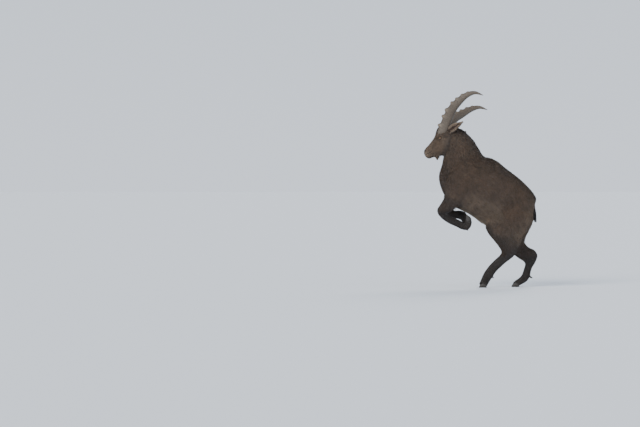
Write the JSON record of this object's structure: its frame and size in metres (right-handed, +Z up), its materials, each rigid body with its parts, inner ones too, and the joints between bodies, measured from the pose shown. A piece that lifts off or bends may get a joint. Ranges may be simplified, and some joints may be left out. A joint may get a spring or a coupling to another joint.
{
  "type": "alpine ibex",
  "caption": "Life-size still alpine ibex billy rearing on its hind legs, forelegs tucked, with long ridged swept-back horns and a short beard.",
  "frame": {"origin": "centre of the bounding box on the floor", "axes": "+X the way the animal faces, +Y its left side, +Z up"},
  "size_m": [0.9794, 0.412, 1.6653],
  "materials": {
    "coat_body": "dense grey-brown short coat",
    "coat_neck": "longer brown coat in locks",
    "coat_head": "short grey-brown face coat",
    "coat_leg": "brown coat, darker below",
    "coat_dark": "dark brown coat",
    "horn": "ridged grey-brown horn, dull",
    "hoof": "dark hoof, satin",
    "eye": "wet amber eye with a dark slot pupil"
  },
  "bodies": {
    "root": {"torso": "coat_body", "neck": "coat_neck", "head": "coat_head", "tail": "coat_dark", "ear_left": "coat_head", "ear_right": "coat_head", "eye_left": "eye", "eye_right": "eye", "horn_left": "horn", "horn_right": "horn", "foreleg_left": "coat_dark", "foreleg_right": "coat_dark", "hind_leg_left": "coat_leg", "hind_leg_right": "coat_leg", "hoof_hind_left_outer": "hoof", "dewclaw_hind_left_outer": "hoof", "hoof_hind_left_inner": "hoof", "dewclaw_hind_left_inner": "hoof", "hoof_hind_right_outer": "hoof", "dewclaw_hind_right_outer": "hoof", "hoof_hind_right_inner": "hoof", "dewclaw_hind_right_inner": "hoof", "hoof_fore_left_outer": "hoof", "dewclaw_fore_left_outer": "hoof", "hoof_fore_left_inner": "hoof", "dewclaw_fore_left_inner": "hoof", "hoof_fore_right_outer": "hoof", "dewclaw_fore_right_outer": "hoof", "hoof_fore_right_inner": "hoof", "dewclaw_fore_right_inner": "hoof"}
  },
  "joints": []
}
